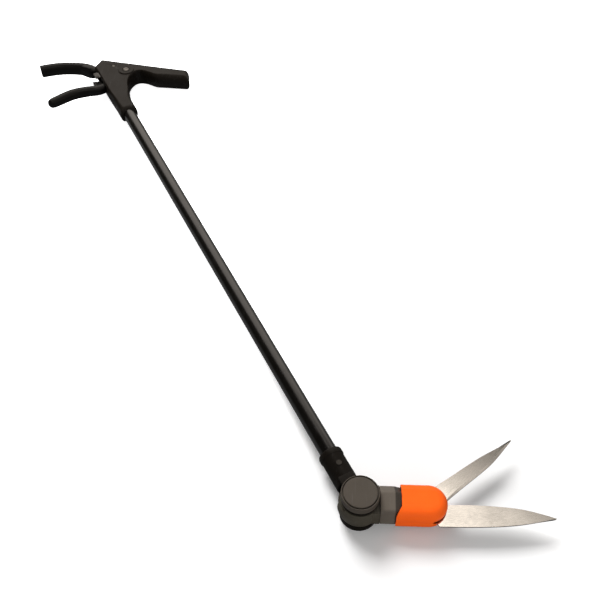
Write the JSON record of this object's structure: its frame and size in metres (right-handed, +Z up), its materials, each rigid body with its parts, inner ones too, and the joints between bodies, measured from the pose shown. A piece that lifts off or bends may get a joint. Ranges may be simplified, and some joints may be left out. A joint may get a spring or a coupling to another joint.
{
  "type": "long-handled grass shears",
  "caption": "Long-handled grass shears: squeeze handle on a black tube, push-button tilt knuckle, swivelling six-sided collar, orange cap and two steel blades.",
  "frame": {"origin": "on the tilt axis of the head, at the flat far cover that the knuckle rests on", "axes": "+Z up out of the side the tool lies on, along the tilt axis; +X along the head toward the blade tips; +Y completes the set, toward the handle"},
  "size_m": [0.8155, 0.9244, 0.052],
  "materials": {
    "painted_tube": "satin black paint",
    "black_shell": "fine-grained black moulding",
    "black_gloss": "smooth black moulding",
    "soft_black": "smooth soft grip",
    "orange": "satin orange moulding",
    "blade_steel": "brushed lengthwise",
    "steel": "bright turned steel",
    "brass": "turned",
    "nylon": "natural nylon"
  },
  "bodies": {
    "shaft": {"tube": "painted_tube", "rod_guide_upper": "nylon", "rod_guide_lower": "nylon", "pull_cable": "steel", "handle_shell_near": "black_shell", "handle_shell_far": "black_shell", "shell_screws": "steel", "tube_screw": "steel", "rear_grip_core": "black_gloss", "rear_grip_sleeve": "soft_black", "grip_screw": "steel", "lever_pivot_screw": "steel", "lever_pivot_nut": "steel", "socket_near": "black_shell", "socket_far": "black_shell", "socket_rivet": "steel", "far_cover": "black_shell", "cover_screws": "steel", "button_spring": "steel"},
    "rod": {"pull_rod": "steel", "rod_head": "steel"},
    "lever": {"squeeze_lever": "black_gloss", "lever_bush": "brass", "pull_pin_steel": "steel"},
    "lock": {"lock_slide": "black_shell"},
    "button": {"tilt_button": "black_shell", "button_clip": "steel"},
    "knuckle": {"knuckle_near": "black_shell", "knuckle_far": "black_shell", "knuckle_screws": "steel", "swivel_retainer": "steel"},
    "swivel": {"swivel_collar": "black_shell", "cap_near": "orange", "cap_far": "orange", "cap_screws": "steel", "fixed_blade": "blade_steel", "pivot_bolt": "steel", "pivot_nut": "steel", "pivot_washer": "steel", "return_spring": "steel"},
    "blade": {"moving_blade": "blade_steel", "tail_pin_steel": "steel"},
    "link": {"draw_link": "steel"}
  },
  "joints": [
    {"name": "lever_squeeze", "type": "hinge", "parent": "shaft", "child": "lever", "pos_m": [-0.41988, 0.86061, 0.024], "axis": [0, 0, -1], "range_deg": [0, 24], "stiffness_Nm_per_rad": 2, "springref_deg": -20.05},
    {"name": "rod_pull", "type": "slide", "parent": "shaft", "child": "rod", "axis": [-0.4695, 0.8829, 0], "range_m": [0, 0.0105], "deforming": ["pull_cable"]},
    {"name": "lock_slide_move", "type": "slide", "parent": "shaft", "child": "lock", "axis": [-0.8829, -0.4695, 0], "range_m": [0, 0.006]},
    {"name": "button_press", "type": "slide", "parent": "shaft", "child": "button", "axis": [0, 0, -1], "range_m": [0, 0.0026], "stiffness_N_per_m": 1800, "springref_m": -0.002, "deforming": ["button_spring"]},
    {"name": "head_tilt", "type": "hinge", "parent": "shaft", "child": "knuckle", "pos_m": [0, 0, 0.024], "axis": [0, 0, 1], "range_deg": [-45, 15], "deforming": ["pull_cable"]},
    {"name": "head_swivel", "type": "hinge", "parent": "knuckle", "child": "swivel", "pos_m": [0.03, 0, 0.024], "axis": [1, 0, 0], "range_deg": [-90, 90]},
    {"name": "blade_close", "type": "hinge", "parent": "swivel", "child": "blade", "pos_m": [0.08, 0, 0.024], "axis": [0, 0, -1], "range_deg": [0, 42.5]},
    {"name": "link_draw", "type": "slide", "parent": "swivel", "child": "link", "axis": [-1, 0, 0], "range_m": [0, 0.0105], "deforming": ["return_spring", "pull_cable"]}
  ],
  "couplings": [
    {"joint": "rod_pull", "follows": "lever_squeeze", "m_per_rad": 0.024818},
    {"joint": "link_draw", "follows": "lever_squeeze", "m_per_rad": 0.024818},
    {"joint": "blade_close", "follows": "lever_squeeze", "ratio": 1.7505}
  ]
}
